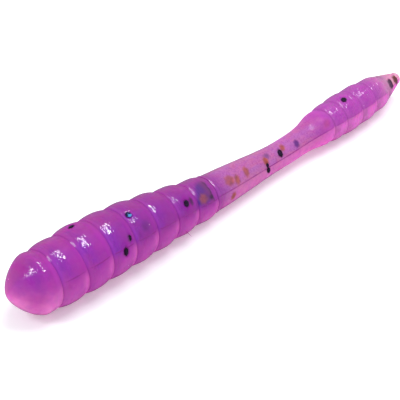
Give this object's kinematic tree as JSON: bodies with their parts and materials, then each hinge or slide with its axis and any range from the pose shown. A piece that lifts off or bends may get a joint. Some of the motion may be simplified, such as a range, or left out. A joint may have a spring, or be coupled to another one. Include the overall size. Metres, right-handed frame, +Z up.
{
  "type": "soft plastic worm",
  "caption": "Ribbed soft plastic fishing worm with a rounded head, a slim neck and a ringed tail, cast in translucent purple plastic with embedded flakes, and flexible along its length.",
  "frame": {"origin": "on the surface that the worm lies on, under the middle of its bounding box", "axes": "+X runs from the nose to the tail tip, +Z is up, and +Y is the side that the tail curves to"},
  "size_m": [0.07, 0.008, 0.0079],
  "materials": {
    "plastisol": "soft translucent purple plastic with a wet gloss, pinker at the rims and belly",
    "black_flake": "glossy black glitter flake",
    "copper_flake": "copper-brown glitter flake",
    "violet_flake": "dark violet glitter flake",
    "blue_flake": "blue iridescent glitter flake"
  },
  "bodies": {
    "head": {"head": "plastisol"},
    "body_ring_1": {"body_ring_1": "plastisol", "black_flake_12": "black_flake"},
    "body_ring_2": {"body_ring_2": "plastisol", "black_flake_1": "black_flake", "violet_flake_4": "violet_flake"},
    "body_ring_3": {"body_ring_3": "plastisol", "black_flake_2": "black_flake", "black_flake_3": "black_flake"},
    "body_ring_4": {"body_ring_4": "plastisol", "blue_flake_1": "blue_flake", "violet_flake_1": "violet_flake"},
    "body_ring_5": {"body_ring_5": "plastisol", "black_flake_13": "black_flake"},
    "body_ring_6": {"body_ring_6": "plastisol", "black_flake_4": "black_flake", "black_flake_5": "black_flake", "copper_flake_12": "copper_flake"},
    "body_ring_7": {"body_ring_7": "plastisol", "black_flake_6": "black_flake", "blue_flake_2": "blue_flake", "copper_flake_1": "copper_flake"},
    "neck_front": {"neck_front": "plastisol", "black_flake_7": "black_flake", "black_flake_8": "black_flake", "black_flake_9": "black_flake", "black_flake_14": "black_flake", "violet_flake_2": "violet_flake", "copper_flake_2": "copper_flake", "copper_flake_3": "copper_flake", "copper_flake_4": "copper_flake", "copper_flake_5": "copper_flake", "copper_flake_6": "copper_flake", "copper_flake_7": "copper_flake", "copper_flake_10": "copper_flake"},
    "neck_rear": {"neck_rear": "plastisol", "violet_flake_3": "violet_flake", "copper_flake_8": "copper_flake", "copper_flake_11": "copper_flake"},
    "tail_ring_1": {"tail_ring_1": "plastisol"},
    "tail_ring_2": {"tail_ring_2": "plastisol", "black_flake_10": "black_flake"},
    "tail_ring_3": {"tail_ring_3": "plastisol", "black_flake_15": "black_flake"},
    "tail_ring_4": {"tail_ring_4": "plastisol"},
    "tail_tip": {"tail_tip": "plastisol", "black_flake_11": "black_flake", "copper_flake_9": "copper_flake"}
  },
  "joints": [
    {"name": "side_bend_head", "type": "hinge", "parent": "head", "child": "body_ring_1", "pos_m": [-0.03154, 0, 0.00391], "axis": [0, 0, 1], "range_deg": [-12, 12], "stiffness_Nm_per_rad": 0.00576},
    {"name": "lift_bend_body_ring_1", "type": "hinge", "parent": "body_ring_1", "child": "body_ring_2", "pos_m": [-0.02823, 0, 0.00383], "axis": [0, -1, 0], "range_deg": [0, 12], "stiffness_Nm_per_rad": 0.00685},
    {"name": "side_bend_body_ring_2", "type": "hinge", "parent": "body_ring_2", "child": "body_ring_3", "pos_m": [-0.02484, 0, 0.00393], "axis": [0, 0, 1], "range_deg": [-12, 12], "stiffness_Nm_per_rad": 0.00701},
    {"name": "lift_bend_body_ring_3", "type": "hinge", "parent": "body_ring_3", "child": "body_ring_4", "pos_m": [-0.02139, 0, 0.00386], "axis": [0, -1, 0], "range_deg": [0, 12], "stiffness_Nm_per_rad": 0.00632},
    {"name": "side_bend_body_ring_4", "type": "hinge", "parent": "body_ring_4", "child": "body_ring_5", "pos_m": [-0.01798, 0, 0.00371], "axis": [0, 0, 1], "range_deg": [-12, 12], "stiffness_Nm_per_rad": 0.00511},
    {"name": "lift_bend_body_ring_5", "type": "hinge", "parent": "body_ring_5", "child": "body_ring_6", "pos_m": [-0.01442, 0, 0.00342], "axis": [0, -1, 0], "range_deg": [0, 12], "stiffness_Nm_per_rad": 0.00325},
    {"name": "side_bend_body_ring_6", "type": "hinge", "parent": "body_ring_6", "child": "body_ring_7", "pos_m": [-0.01076, 0, 0.00311], "axis": [0, 0, 1], "range_deg": [-12, 12], "stiffness_Nm_per_rad": 0.00218},
    {"name": "lift_bend_body_ring_7", "type": "hinge", "parent": "body_ring_7", "child": "neck_front", "pos_m": [-0.00693, 0, 0.00276], "axis": [0, -1, 0], "range_deg": [0, 12], "stiffness_Nm_per_rad": 0.00084},
    {"name": "side_bend_neck_front", "type": "hinge", "parent": "neck_front", "child": "neck_rear", "pos_m": [0.0084, 0.00024, 0.00233], "axis": [0, 0, 1], "range_deg": [-40, 40], "stiffness_Nm_per_rad": 0.0000859},
    {"name": "lift_bend_neck_rear", "type": "hinge", "parent": "neck_rear", "child": "tail_ring_1", "pos_m": [0.01636, 0.00053, 0.00272], "axis": [0, -1, 0], "range_deg": [0, 14], "stiffness_Nm_per_rad": 0.000736},
    {"name": "side_bend_tail_ring_1", "type": "hinge", "parent": "tail_ring_1", "child": "tail_ring_2", "pos_m": [0.01876, 0.00063, 0.00272], "axis": [0, 0, 1], "range_deg": [-14, 14], "stiffness_Nm_per_rad": 0.00137},
    {"name": "lift_bend_tail_ring_2", "type": "hinge", "parent": "tail_ring_2", "child": "tail_ring_3", "pos_m": [0.02197, 0.00079, 0.00272], "axis": [0, -1, 0], "range_deg": [0, 14], "stiffness_Nm_per_rad": 0.00156},
    {"name": "side_bend_tail_ring_3", "type": "hinge", "parent": "tail_ring_3", "child": "tail_ring_4", "pos_m": [0.02534, 0.00098, 0.00272], "axis": [0, 0, 1], "range_deg": [-14, 14], "stiffness_Nm_per_rad": 0.00103},
    {"name": "lift_bend_tail_ring_4", "type": "hinge", "parent": "tail_ring_4", "child": "tail_tip", "pos_m": [0.02859, 0.00117, 0.00272], "axis": [0, -1, 0], "range_deg": [0, 14], "stiffness_Nm_per_rad": 0.000423}
  ]
}
